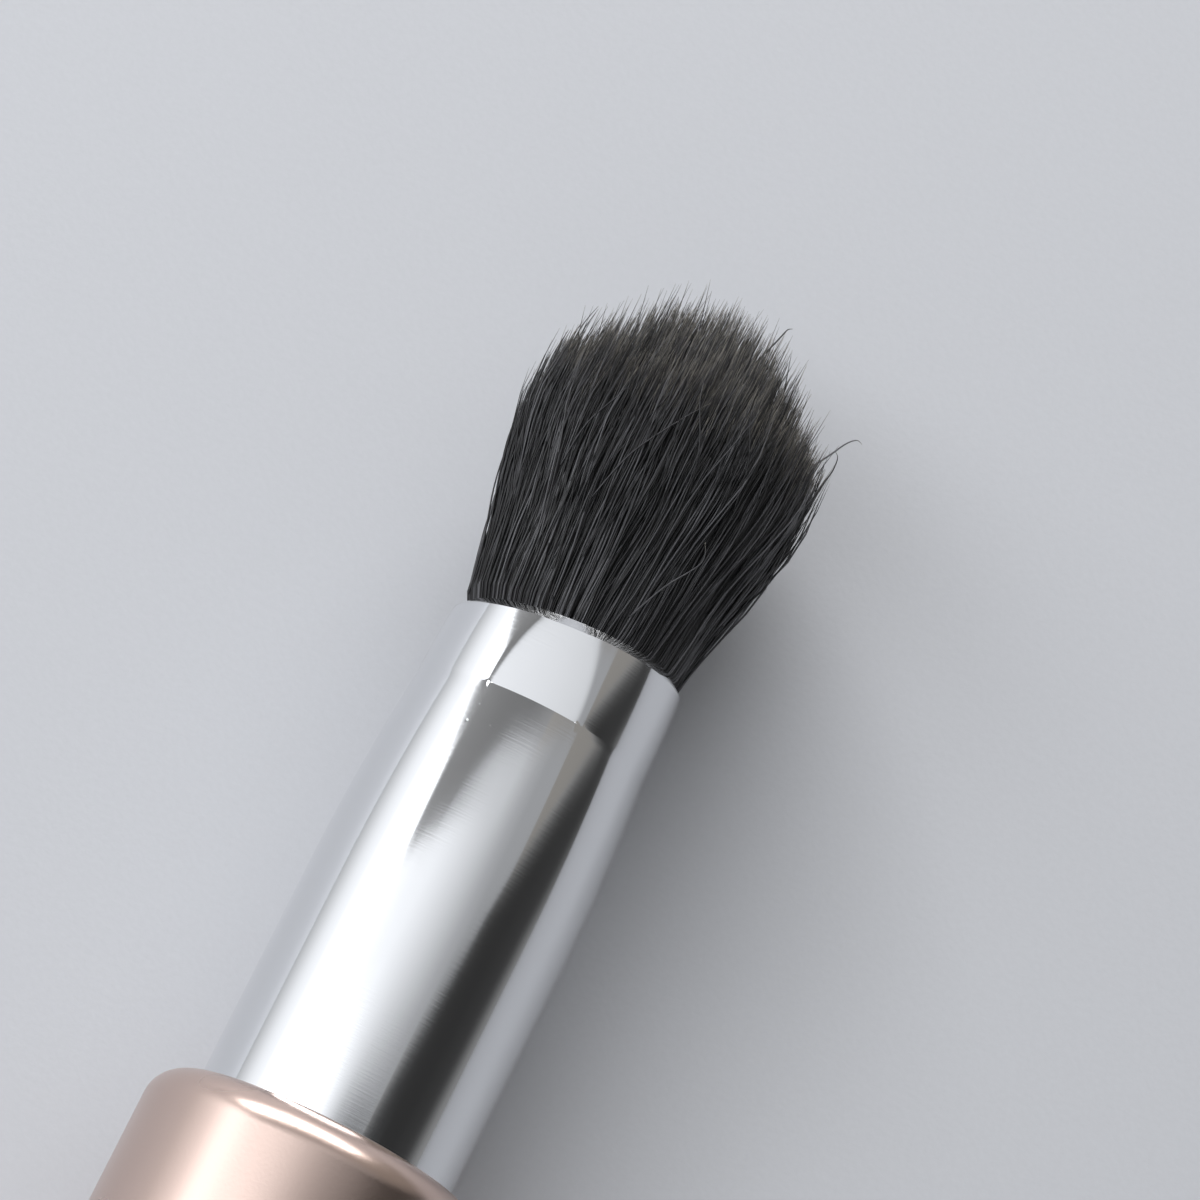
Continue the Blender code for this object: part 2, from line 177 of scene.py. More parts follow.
# Listed one by one: how many in the lock, their spacing in mm, their tone from 0 to 1, and their course in
# mm to the right, ahead of the mouth and above the axis
LOOSE_HAIRS = (
    (6, 0.07, 0.3,
     ((-3.05, -0.2, 0.4), (-3.45, 0.8, 0.5), (-3.8, 2.2, 0.5), (-4.02, 3.6, 0.4), (-4.25, 5.0, 0.3),
      (-4.35, 6.2, 0.3))),
    (1, 0.0, 0.5,
     ((-3.3, 0.0, 0.2), (-3.45, 0.4, 0.2), (-3.8, 2.0, 0.2), (-3.97, 3.0, 0.1), (-4.1, 3.9, 0.0),
      (-4.25, 5.0, 0.0), (-4.45, 6.1, 0.0), (-4.6, 6.8, 0.0))),
    (1, 0.0, 0.6,
     ((-3.3, 0.0, 0.8), (-3.6, 1.6, 0.8), (-4.1, 3.4, 0.7), (-4.35, 5.0, 0.6), (-4.55, 6.3, 0.5))),
    (5, 0.05, 0.2,
     ((-3.8, 3.6, 0.4), (-4.15, 5.0, 0.3), (-4.4, 6.1, 0.2), (-4.48, 7.0, 0.2), (-4.42, 7.8, 0.2))),
    (4, 0.06, 0.4,
     ((-3.8, 5.4, 0.8), (-4.15, 6.8, 0.6), (-4.3, 7.8, 0.5), (-4.28, 8.7, 0.4))),
    (2, 0.08, 0.6,
     ((-3.4, 6.4, 1.2), (-3.8, 7.8, 1.0), (-3.85, 8.8, 0.8), (-3.75, 9.7, 0.6))),
    (5, 0.05, 0.2,
     ((3.4, 2.6, 0.2), (3.85, 3.9, 0.1), (4.2, 5.2, 0.0), (4.42, 6.3, 0.0), (4.5, 7.3, 0.0),
      (4.45, 8.2, 0.2))),
    (1, 0.0, 0.5,
     ((4.2, 5.6, 0.4), (4.5, 6.9, 0.3), (4.62, 7.8, 0.2), (4.68, 8.3, 0.1), (4.64, 8.7, 0.1),
      (4.48, 8.86, 0.1))),
    (2, 0.06, 0.3,
     ((3.25, 1.6, 0.6), (3.6, 2.9, 0.4), (3.95, 3.9, 0.3), (4.12, 4.7, 0.3))),
    (1, 0.0, 0.4,
     ((1.1, 9.8, 0.5), (1.4, 10.8, 0.4), (1.53, 11.3, 0.3), (1.62, 11.6, 0.3), (1.75, 11.7, 0.3))),
    (1, 0.0, 0.9,
     ((3.9, 7.6, 0.6), (4.4, 8.5, 0.5), (4.7, 9.1, 0.4), (4.95, 9.35, 0.4), (5.15, 9.3, 0.4))),
    (1, 0.0, 0.8,
     ((1.55, 0.8, 3.3), (2.1, 2.0, 3.5), (2.75, 3.1, 3.5), (2.6, 3.7, 3.6))),
    (1, 0.0, 0.7,
     ((-0.9, 3.4, 4.05), (-0.4, 5.0, 4.4), (0.5, 6.6, 4.4), (1.0, 7.4, 4.25))),
    (1, 0.0, 0.6,
     ((1.6, 4.6, 3.9), (1.3, 6.0, 4.35), (0.7, 7.3, 4.4), (0.5, 8.2, 4.1))),
    (1, 0.0, 0.65,
     ((-2.2, 4.0, 3.6), (-2.0, 5.4, 4.0), (-1.4, 6.8, 4.15), (-1.3, 7.7, 4.0))),
    (1, 0.0, 0.6,
     ((2.9, 5.0, 3.25), (2.7, 6.4, 3.6), (2.2, 7.6, 3.75), (2.1, 8.4, 3.5))),
)

# Camera, as the photograph was taken
VIEW_TURN = math.radians(25.72)
VIEW_RISE = math.radians(74.54)
VIEW_DISTANCE = 180.0 * MM
HALF_FRAME_PIXELS = 600
FOCAL_PIXELS = 6093
VIEW_ANGLE = 2 * math.atan(HALF_FRAME_PIXELS / FOCAL_PIXELS)
AIM_RIGHT = 0.17 * MM
AIM_AHEAD = 1.711 * MM

# Studio. Turns are counted from the right-hand side, and places from the table under the mouth.
SQUARE = ((-1, -1), (1, -1), (1, 1), (-1, 1))
RIGHTWARDS = (1.0, 0.0, 0.0)
UPWARDS = (0.0, 0.0, 1.0)
TABLE_REACH = 3000.0 * MM
KEY_TURN = math.radians(99)
KEY_RISE = math.radians(34)
KEY_DISTANCE = 600.0 * MM
KEY_WIDTH = 780.0 * MM
KEY_HEIGHT = 170.0 * MM
KEY_LEVEL = 9.8
WALL_X = -250.0 * MM
WALL_TOP = 270.0 * MM
SCRIM_RISE = 150.0 * MM
SCRIM_LEFT = -235.0 * MM
SCRIM_RIGHT = 165.0 * MM
HEM_DROP = 1.0 * MM
HEM_LEFT = -70.0 * MM
HEM_RIGHT = 40.0 * MM
REAR_SCRIM_LEFT = -225.0 * MM
REAR_SCRIM_RIGHT = 165.0 * MM
CEILING_RISE = 640.0 * MM
CEILING_REACH = 1400.0 * MM
FLAG_X = 205.0 * MM
FLAG_FADE_END = 100.0 * MM
FLAG_EDGE_START = 70.0 * MM
FLAG_EDGE_END = 104.0 * MM
LOW_FLAG_GAP = 5.0 * MM
LOW_FLAG_TOP = 55.0 * MM
BACK_WALL_X = 240.0 * MM
CLOTH_TINT = "#FAFCFF"
WARM_TINT = "#FFFAF2"
SURROUND_LIGHT = 0.08

# Scale of a pattern with one grain in each millimetre
PER_MM = 1000.0


def colour(code):
    """Turn an sRGB hex code into linear red, green, blue and alpha."""
    parts = [int(code[place:place + 2], 16) / 255 for place in (1, 3, 5)]
    linear = [part / 12.92 if part <= 0.04045 else ((part + 0.055) / 1.055) ** 2.4 for part in parts]
    return (*linear, 1.0)


def add(tree, kind, inputs=None, **settings):
    """Add a node to a tree. An input is a value, an output to link, or a node for its first output.

    Inputs that share a name go by number: a MapRange has its value at 0, the range that it comes from
    at 1 and 2 and the range that it goes to at 3 and 4. A Mix has its factor at 0 and what it mixes at
    2 and 3, or at 4 and 5 for vectors and 6 and 7 for colours.
    """
    node = tree.nodes.new(kind)
    for name, value in settings.items():
        setattr(node, name, value)
    for key, value in (inputs or {}).items():
        if isinstance(value, bpy.types.Node):
            value = value.outputs[0]
        if isinstance(value, bpy.types.NodeSocket):
            tree.links.new(value, node.inputs[key])
        else:
            node.inputs[key].default_value = value
    return node


def new_material(name):
    """Return a material, its node tree and its Principled shader."""
    material = bpy.data.materials.new(name)
    material.use_nodes = True
    tree = material.node_tree
    return material, tree, tree.nodes["Principled BSDF"]


def polished_aluminium():
    """Aluminium tube, drawn and buffed while it turned: mirror bright, with hair-fine marks round it."""
    material, tree, shader = new_material("polished aluminium")
    place = add(tree, "ShaderNodeTexCoord").outputs["Object"]
    # Buffing marks run round the tube, 0.05 mm apart, drawn at twice their real width to show
    marks_scale = (0.5 * PER_MM, 18 * PER_MM, 0.5 * PER_MM)
    squeezed = add(tree, "ShaderNodeMapping", {"Vector": place, "Scale": marks_scale})
    marks = add(tree, "ShaderNodeTexNoise", {"Vector": squeezed, "Scale": 1.0, "Detail": 3.0})
    # The drawn wall under them is wavy, over about 2 mm
    waves = add(tree, "ShaderNodeTexNoise", {"Vector": place, "Scale": 0.5 * PER_MM, "Detail": 1.0})
    height = add(tree, "ShaderNodeMix", {0: 0.35, 2: marks, 3: waves})
    bump = add(tree, "ShaderNodeBump", {"Height": height, "Distance": 0.0008 * MM, "Strength": 1.0})
    # Small pits beside the crease
    normal = bump.outputs[0]
    for x, station, z in PITS:
        centre = (x * MM, MOUTH_Y - station * MM, AXIS_Z + z * MM)
        away = add(tree, "ShaderNodeVectorMath", {0: place, 1: centre}, operation="DISTANCE")
        hollow = add(tree, "ShaderNodeMapRange", {0: away.outputs["Value"], 1: 0.0, 2: PIT_RADIUS},
                     interpolation_type="SMOOTHSTEP")
        pit = add(tree, "ShaderNodeBump",
                  {"Height": hollow, "Distance": PIT_DEPTH, "Strength": 1.0, "Normal": normal})
        normal = pit.outputs[0]
    tree.links.new(normal, shader.inputs["Normal"])
    # Handling leaves hazy clouds about 3 mm wide
    cloud = add(tree, "ShaderNodeTexNoise", {"Vector": place, "Scale": 0.35 * PER_MM, "Detail": 4.0})
    haze = add(tree, "ShaderNodeMapRange", {0: cloud, 3: 0.06, 4: 0.13})
    tree.links.new(haze.outputs[0], shader.inputs["Roughness"])
    shader.inputs["Base Color"].default_value = colour("#E3E4E6")
    shader.inputs["Metallic"].default_value = 1.0
    # The marks spread reflections along the brush, and hardly across it
    round_axis = add(tree, "ShaderNodeTangent", direction_type="RADIAL", axis="Y")
    tree.links.new(round_axis.outputs[0], shader.inputs["Tangent"])
    shader.inputs["Anisotropic"].default_value = 0.7
    shader.inputs["Anisotropic Rotation"].default_value = 0.25
    return material


def rose_gold_anodised():
    """Anodised aluminium, finely blasted: a satin, pinkish-brown metal that blurs what it mirrors."""
    material, tree, shader = new_material("rose gold anodised aluminium")
    place = add(tree, "ShaderNodeTexCoord").outputs["Object"]
    # The blast's grain is about 0.1 mm wide, drawn coarser than it is to show
    grain = add(tree, "ShaderNodeTexNoise", {"Vector": place, "Scale": 9 * PER_MM, "Detail": 2.0})
    bump = add(tree, "ShaderNodeBump", {"Height": grain, "Distance": 0.003 * MM, "Strength": 0.6})
    tree.links.new(bump.outputs[0], shader.inputs["Normal"])
    # The dye takes a little unevenly, in clouds about 8 mm wide
    cloud = add(tree, "ShaderNodeTexNoise", {"Vector": place, "Scale": 0.12 * PER_MM, "Detail": 3.0})
    dye = add(tree, "ShaderNodeMix", {0: cloud, 6: colour("#CDB6AC"), 7: colour("#D4BEB4")},
              data_type="RGBA")
    tree.links.new(dye.outputs[2], shader.inputs["Base Color"])
    satin = add(tree, "ShaderNodeMapRange", {0: cloud, 3: 0.25, 4: 0.30})
    tree.links.new(satin.outputs[0], shader.inputs["Roughness"])
    shader.inputs["Metallic"].default_value = 1.0
    return material


def black_filament():
    """Dyed polyester filament: black and slightly glossy, its tapered tip paler and olive-brown."""
    material, tree, shader = new_material("black polyester filament")
    tip = add(tree, "ShaderNodeAttribute", attribute_name="tip_share").outputs["Fac"]
    tone = add(tree, "ShaderNodeAttribute", attribute_name="strand_tone").outputs["Fac"]
    # Most filaments are near black, and a few at random are painted paler: a painted highlight
    few = add(tree, "ShaderNodeMath", {0: tone, 1: 3.6}, operation="POWER")
    body = add(tree, "ShaderNodeMix", {0: few, 6: colour("#101012"), 7: colour("#68686C")},
               data_type="RGBA")
    near = add(tree, "ShaderNodeMath", {0: tip, 1: 2.2}, operation="POWER")
    paler = add(tree, "ShaderNodeMapRange", {0: tone, 3: -0.15, 4: 1.0})
    fade = add(tree, "ShaderNodeMath", {0: near, 1: paler}, operation="MULTIPLY")
    hair = add(tree, "ShaderNodeMix", {0: fade, 6: body.outputs[2], 7: colour("#A09A8D")},
               data_type="RGBA")
    tree.links.new(hair.outputs[2], shader.inputs["Base Color"])
    gloss = add(tree, "ShaderNodeMapRange", {0: tone, 3: 0.50, 4: 0.36})
    tree.links.new(gloss.outputs[0], shader.inputs["Roughness"])
    shader.inputs["IOR"].default_value = 1.57
    return material


def waxed_thread():
    """Cotton binding thread, twisted and waxed: cream, with a slanted rib for each twist."""
    material, tree, shader = new_material("waxed cotton thread")
    place = add(tree, "ShaderNodeTexCoord").outputs["Object"]
    # The wave texture has 20 / (2 pi) bands at a scale of 1, so the ribs are about 0.26 mm apart
    ribs = add(tree, "ShaderNodeTexWave", {"Vector": place, "Scale": 1.2 * PER_MM, "Distortion": 2.0})
    bump = add(tree, "ShaderNodeBump", {"Height": ribs.outputs[1], "Distance": 0.03 * MM})
    tree.links.new(bump.outputs[0], shader.inputs["Normal"])
    yarn = add(tree, "ShaderNodeMix", {0: ribs.outputs[1], 6: colour("#C9C2AE"), 7: colour("#E6E0D0")},
               data_type="RGBA")
    tree.links.new(yarn.outputs[2], shader.inputs["Base Color"])
    shader.inputs["Roughness"].default_value = 0.7
    return material


def cured_epoxy():
    """Epoxy poured and cured in the bore: glassy amber, a little cloudy."""
    material, tree, shader = new_material("cured epoxy")
    place = add(tree, "ShaderNodeTexCoord").outputs["Object"]
    # Its clouds are about 1 mm wide
    cloud = add(tree, "ShaderNodeTexNoise", {"Vector": place, "Scale": 0.9 * PER_MM, "Detail": 3.0})
    resin = add(tree, "ShaderNodeMix", {0: cloud, 6: colour("#B88A45"), 7: colour("#E0C07E")},
                data_type="RGBA")
    tree.links.new(resin.outputs[2], shader.inputs["Base Color"])
    shader.inputs["Roughness"].default_value = 0.15
    shader.inputs["IOR"].default_value = 1.55
    return material


def moulded_plastic():
    """Injection-moulded ABS: off-white, with the faint spark-eroded texture of its tool."""
    material, tree, shader = new_material("moulded ABS")
    place = add(tree, "ShaderNodeTexCoord").outputs["Object"]
    # The tool's texture is about 0.17 mm wide
    grain = add(tree, "ShaderNodeTexNoise", {"Vector": place, "Scale": 6 * PER_MM, "Detail": 2.0})
    bump = add(tree, "ShaderNodeBump", {"Height": grain, "Distance": 0.01 * MM})
    tree.links.new(bump.outputs[0], shader.inputs["Normal"])
    tint = add(tree, "ShaderNodeMix", {0: grain, 6: colour("#DEDDD8"), 7: colour("#EAE9E4")},
               data_type="RGBA")
    tree.links.new(tint.outputs[2], shader.inputs["Base Color"])
    shader.inputs["Roughness"].default_value = 0.45
    return material


def round_corners(corners):
    """Return an outline of (radius, station) with an arc at each corner that has a rounding."""
    points = []
    for number, (radius, station, rounding) in enumerate(corners):
        corner = Vector((radius, station))
        if rounding == 0:
            points.append(corner)
            continue
        before = (Vector(corners[number - 1][:2]) - corner).normalized()
        after = (Vector(corners[(number + 1) % len(corners)][:2]) - corner).normalized()
        half = before.angle(after) / 2
        centre = corner + (before + after).normalized() * rounding / math.sin(half)
        start = corner + before * rounding / math.tan(half) - centre
        turn_angle = start.angle_signed(corner + after * rounding / math.tan(half) - centre)
        steps = max(2, round(STEPS_PER_ROUND * abs(turn_angle) / (math.pi / 2)))
        for step in range(steps + 1):
            angle = math.atan2(start.y, start.x) - turn_angle * step / steps
            points.append(centre + Vector((math.cos(angle), math.sin(angle))) * rounding)
    return points


def turn(name, corners, material, closed=True, sides=SIDES_ROUND):
    """Turn an outline about the brush's axis. Its outer side runs from the tip to the butt."""
    outline = round_corners(corners)
    places = [(point.x, MOUTH_Y + point.y, 0.0) for point in outline]
    edges = [(number, number + 1) for number in range(len(places) - 1)]
    if closed:
        edges.append((len(places) - 1, 0))
    mesh = bpy.data.meshes.new(name)
    mesh.from_pydata(places, edges, [])
    piece = bpy.data.objects.new(name, mesh)
    bpy.context.scene.collection.objects.link(piece)
    screw = piece.modifiers.new("Turn", "SCREW")
    screw.axis = "Y"
    screw.angle = 2 * math.pi
    screw.steps = sides
    screw.render_steps = sides
    screw.use_merge_vertices = True
    screw.merge_threshold = MERGE_DISTANCE
    depsgraph = bpy.context.evaluated_depsgraph_get()
    turned = bpy.data.meshes.new_from_object(piece.evaluated_get(depsgraph))
    piece.modifiers.clear()
    piece.data = turned
    bpy.data.meshes.remove(mesh)
    for vert in turned.vertices:
        vert.co.z += AXIS_Z
    turned.shade_smooth()
    turned.set_sharp_from_angle(angle=SHARPEST_SMOOTH)
    turned.materials.clear()
    turned.materials.append(material)
    return piece


def make_ferrule(material):
    """Drawn tube: bevelled mouth, drawn-in nose, a crease, a flare that dies out, straight barrel."""
    bore = FERRULE_RADIUS - FERRULE_WALL
    flare_end = NOSE_LENGTH + FLARE_LENGTH
    corners = [(MOUTH_BORE, 0.0, 0.0), (MOUTH_RADIUS, 0.0, 0.0)]
    for step in range(CURVE_STEPS + 1):
        share = step / CURVE_STEPS
        radius = NOSE_RADIUS - (NOSE_RADIUS - NOSE_FRONT) * (1 - share) ** 2
        corners.append((radius, -MOUTH_BEVEL - share * (NOSE_LENGTH - CREASE_STEP - MOUTH_BEVEL), 0.0))
    for step in range(CURVE_STEPS + 1):
        share = step / CURVE_STEPS
        radius = FERRULE_RADIUS - (FERRULE_RADIUS - NOSE_RADIUS) * (1 - share) ** 2
        corners.append((radius, -NOSE_LENGTH - share * FLARE_LENGTH, 0.0))
    corners += [
        (FERRULE_RADIUS, -FERRULE_END, EDGE_ROUND),
        (bore, -FERRULE_END, EDGE_ROUND),
        (bore, -flare_end, 0.0),
        (NOSE_RADIUS - FERRULE_WALL, -NOSE_LENGTH, 0.0),
        (MOUTH_BORE, -MOUTH_LAND, 0.0),
    ]
    ferrule = turn("ferrule_skin", corners, material, sides=FERRULE_SIDES)
    press_dent(ferrule.data)
    # The mouth was trimmed a little out of square, the crease behind it is square
    for vert in ferrule.data.vertices:
        share = (vert.co.y - MOUTH_Y + NOSE_LENGTH) / NOSE_LENGTH
        vert.co.y += vert.co.x * MOUTH_SLANT * min(1.0, max(0.0, share))
    return ferrule


def press_dent(skin):
    """Press the top of the nose flatter, as the crimping tool left it, up to the crease."""
    for vert in skin.vertices:
        ahead = vert.co.y - MOUTH_Y + NOSE_LENGTH
        if ahead < CREASE_STEP / 2:
            continue
        centre = NOSE_RADIUS - DENT_DEPTH - DENT_SLOPE * ahead - DENT_RADIUS
        height = vert.co.z - AXIS_Z
        radius = math.hypot(vert.co.x, height)
        angle = math.atan2(vert.co.x, height) - DENT_TURN
        limit = centre * math.cos(angle) + math.sqrt(DENT_RADIUS ** 2 - (centre * math.sin(angle)) ** 2)
        pressed = (radius + limit - math.hypot(radius - limit, DENT_SOFTNESS)) / 2
        vert.co.x *= pressed / radius
        vert.co.z = AXIS_Z + height * pressed / radius
    skin.set_sharp_from_angle(angle=SHARPEST_SMOOTH)


def make_handle(material):
    """Anodised tube: soft front lip, straight barrel, and a tail that thins to the butt."""
    tail_start = HANDLE_START + BARREL_LENGTH
    outside = []
    inside = []
    for step in range(1, TAPER_STEPS + 1):
        share = step / TAPER_STEPS
        radius = HANDLE_RADIUS - (HANDLE_RADIUS - BUTT_RADIUS) * share ** TAPER_POWER
        station = -tail_start - (HANDLE_END - tail_start) * share
        outside.append((radius, station, 0.0))
        inside.append((radius - HANDLE_WALL, station, 0.0))
    corners = [
        (FERRULE_RADIUS + FIT_GAP, -HANDLE_START, LIP_INNER_ROUND),
        (HANDLE_RADIUS, -HANDLE_START, LIP_ROUND),
        (HANDLE_RADIUS, -tail_start, 0.0),
    ]
    corners += outside + inside[::-1]
    corners.append((HANDLE_RADIUS - HANDLE_WALL, -tail_start, 0.0))
    return turn("handle_tube", corners, material)


def make_end_cap(material):
    """Turned cap with a softly rounded butt, its plug inside the tail."""
    seat = -BUTT_END + CAP_HEAD
    plug = BUTT_RADIUS - HANDLE_WALL - FIT_GAP
    corners = [
        (0.0, -CAP_TOP, 0.0),
        (plug, -CAP_TOP, EDGE_ROUND),
        (plug, seat, 0.0),
        (BUTT_RADIUS, seat, EDGE_ROUND),
        (BUTT_RADIUS, -BUTT_END, CAP_ROUND),
        (0.0, -BUTT_END, 0.0),
    ]
    return turn("butt_cap", corners, material, closed=False)


def make_tuft_root(material):
    """Bundle of the filaments' roots inside the ferrule, drawn in where the thread is wound."""
    full = ROOT_RADIUS - FIT_GAP
    waist = full - THREAD_DIAMETER
    corners = [
        (0.0, ROOT_START, 0.0),
        (full, ROOT_START, 0.0),
        (full, -THREAD_START + WAIST_SLOPE, WAIST_SLOPE / 2),
        (waist, -THREAD_START, WAIST_SLOPE / 4),
        (waist, -THREAD_END, WAIST_SLOPE / 4),
        (full, -THREAD_END - WAIST_SLOPE, WAIST_SLOPE / 2),
        (full, -ROOT_END, 0.0),
        (0.0, -ROOT_END, 0.0),
    ]
    return turn("tuft_root", corners, material, closed=False)


def filament_tree():
    """Geometry Nodes tree that grows tapered filaments from the mouth, gathered in locks, tips on a dome."""
    tree = bpy.data.node_groups.new("tapered filaments", "GeometryNodeTree")
    sockets = {
        "NodeSocketInt": ("Filaments", "Points", "Seed"),
        "NodeSocketFloat": ("Inner Share", "Outer Share", "Diameter", "Belly Radius", "Root Station",
                            "Tip Station", "Dome Fall", "Dome Power", "Unevenness", "Taper Reach",
                            "Fade Reach", "Gathering", "Straying", "Waving", "Lean", "Slant"),
        "NodeSocketVector": ("Mouth",),
        "NodeSocketMaterial": ("Material",),
    }
    for kind, names in sockets.items():
        for name in names:
            tree.interface.new_socket(name=name, in_out="INPUT", socket_type=kind)
    tree.interface.new_socket(name="Geometry", in_out="OUTPUT", socket_type="NodeSocketGeometry")
    given = tree.nodes.new("NodeGroupInput").outputs

    # One straight line for each filament
    line = add(tree, "GeometryNodeCurvePrimitiveLine")
    cut = add(tree, "GeometryNodeResampleCurve", {"Curve": line, "Count": given["Points"]})
    points = add(tree, "GeometryNodePoints", {"Count": given["Filaments"]})
    placed = add(tree, "GeometryNodeInstanceOnPoints", {"Points": points, "Instance": cut})
    lines = add(tree, "GeometryNodeRealizeInstances", {0: placed})
    number = add(tree, "GeometryNodeCurveOfPoint").outputs["Curve Index"]
    along = add(tree, "GeometryNodeSplineParameter").outputs["Factor"]

    # Place in the bundle, on a disc of radius 1: a sunflower spiral with a little disorder
    inner_area = add(tree, "ShaderNodeMath", {0: given["Inner Share"], 1: 2.0}, operation="POWER")
    outer_area = add(tree, "ShaderNodeMath", {0: given["Outer Share"], 1: 2.0}, operation="POWER")
    area = add(tree, "ShaderNodeMapRange",
               {0: number, 1: -0.5, 2: given["Filaments"], 3: inner_area, 4: outer_area})
    share = add(tree, "ShaderNodeMath", {0: area}, operation="SQRT")
    angle = add(tree, "ShaderNodeMath", {0: number, 1: GOLDEN_ANGLE}, operation="MULTIPLY")
    arm = add(tree, "ShaderNodeCombineXYZ", {0: share})
    spot = add(tree, "ShaderNodeVectorRotate", {"Vector": arm, "Angle": angle}, rotation_type="Z_AXIS")
    jitter = add(tree, "FunctionNodeRandomValue",
                 {0: (-PLACE_DISORDER, -PLACE_DISORDER, 0.0), 1: (PLACE_DISORDER, PLACE_DISORDER, 0.0),
                  "ID": number, "Seed": given["Seed"]}, data_type="FLOAT_VECTOR")
    home = add(tree, "ShaderNodeVectorMath", {0: spot, 1: jitter}, operation="ADD")

    # Where the filament ends: a dome, with each lock and each filament a little shorter or longer
    small_lock = add(tree, "ShaderNodeTexVoronoi", {"Vector": home, "Scale": SMALL_LOCK_SCALE},
                     voronoi_dimensions="2D")
    large_lock = add(tree, "ShaderNodeTexVoronoi", {"Vector": home, "Scale": LARGE_LOCK_SCALE},
                     voronoi_dimensions="2D")
    fallen = add(tree, "ShaderNodeMath", {0: share, 1: given["Dome Power"]}, operation="POWER")
    fall = add(tree, "ShaderNodeMath", {0: fallen, 1: given["Dome Fall"]}, operation="MULTIPLY")
    dome = add(tree, "ShaderNodeMath", {0: given["Tip Station"], 1: fall}, operation="SUBTRACT")
    shorter = add(tree, "FunctionNodeRandomValue",
                  {2: 0.0, 3: given["Unevenness"], "ID": number, "Seed": given["Seed"]}).outputs[1]
    lock_draw = add(tree, "ShaderNodeSeparateXYZ", {0: small_lock.outputs["Color"]})
    lock_cut = add(tree, "ShaderNodeMath", {0: lock_draw, 1: given["Unevenness"]}, operation="MULTIPLY")
    cut_back = add(tree, "ShaderNodeMath", {0: shorter, 1: lock_cut}, operation="ADD")
    tip = add(tree, "ShaderNodeMath", {0: dome, 1: cut_back}, operation="SUBTRACT")
    station = add(tree, "ShaderNodeMapRange", {0: along, 3: given["Root Station"], 4: tip})
    left = add(tree, "ShaderNodeMath", {0: tip, 1: station}, operation="SUBTRACT")

    # How far the bundle has spread at this station
    risen = add(tree, "ShaderNodeMapRange", {0: station, 1: given["Root Station"], 2: given["Tip Station"]})
    swell = add(tree, "ShaderNodeFloatCurve", {1: risen})
    curve = swell.mapping.curves[0]
    while len(curve.points) < len(TUFT_OUTLINE):
        curve.points.new(0.5, 0.5)
    for point, (place, size) in zip(curve.points, TUFT_OUTLINE):
        point.location = ((place * MM - ROOT_START) / (TIP_STATION - ROOT_START), size * MM / BELLY_RADIUS)
    swell.mapping.update()
    spread = add(tree, "ShaderNodeMath", {0: swell, 1: given["Belly Radius"]}, operation="MULTIPLY")

    # Locks draw together towards their tips
    drawn = add(tree, "ShaderNodeMapRange", {0: left, 1: GATHER_REACH, 2: 0.0, 4: given["Gathering"]},
                interpolation_type="SMOOTHSTEP")
    gathered = add(tree, "ShaderNodeMix", {0: drawn, 4: home, 5: small_lock.outputs["Position"]},
                   data_type="VECTOR").outputs[1]
    half_drawn = add(tree, "ShaderNodeMath", {0: drawn, 1: LARGE_LOCK_PULL}, operation="MULTIPLY")
    bunched = add(tree, "ShaderNodeMix", {0: half_drawn, 4: gathered, 5: large_lock.outputs["Position"]},
                  data_type="VECTOR").outputs[1]
    spot_now = add(tree, "ShaderNodeVectorMath", {0: bunched, "Scale": spread}, operation="SCALE")

    # Each filament strays to one side, and waves a little on its own and with its neighbours
    aside = add(tree, "FunctionNodeRandomValue",
                {0: (-1.0, -1.0, 0.0), 1: (1.0, 1.0, 0.0), "ID": number, "Seed": given["Seed"]},
                data_type="FLOAT_VECTOR")
    odd = add(tree, "FunctionNodeRandomValue", {2: 0.0, 3: 1.0, "ID": number, "Seed": 7}).outputs[1]
    oddness = add(tree, "ShaderNodeMath", {0: odd, 1: ODDNESS_POWER}, operation="POWER")
    freed = add(tree, "ShaderNodeMapRange",
                {0: station, 1: 0.0, 2: given["Tip Station"], 4: given["Straying"]})
    strayed = add(tree, "ShaderNodeMath", {0: oddness, 1: freed}, operation="MULTIPLY")
    stray = add(tree, "ShaderNodeVectorMath", {0: aside, "Scale": strayed}, operation="SCALE")
    own_phase = add(tree, "ShaderNodeMath", {0: station, 1: OWN_WAVE_RATE}, operation="MULTIPLY")
    own_wave = add(tree, "ShaderNodeTexNoise",
                   {"Vector": home, "W": own_phase, "Scale": OWN_WAVE_SCALE, "Detail": 0.0},
                   noise_dimensions="4D").outputs["Color"]
    shared_phase = add(tree, "ShaderNodeMath", {0: station, 1: SHARED_WAVE_RATE}, operation="MULTIPLY")
    shared_wave = add(tree, "ShaderNodeTexNoise",
                      {"Vector": home, "W": shared_phase, "Scale": SHARED_WAVE_SCALE, "Detail": 1.0},
                      noise_dimensions="4D").outputs["Color"]
    waves = add(tree, "ShaderNodeVectorMath", {0: own_wave, 1: shared_wave}, operation="ADD")
    level = add(tree, "ShaderNodeVectorMath", {0: waves, 1: (1.0, 1.0, 1.0)}, operation="SUBTRACT")
    waving = add(tree, "ShaderNodeMapRange", {0: station, 1: 0.0, 2: WAVE_START, 4: given["Waving"]})
    wave = add(tree, "ShaderNodeVectorMath", {0: level, "Scale": waving}, operation="SCALE")
    moved = add(tree, "ShaderNodeVectorMath", {0: stray, 1: wave}, operation="ADD")
    across = add(tree, "ShaderNodeVectorMath", {0: spot_now, 1: moved}, operation="ADD")
    flat = add(tree, "ShaderNodeVectorMath", {0: across, 1: (1.0, 1.0, 0.0)}, operation="MULTIPLY")

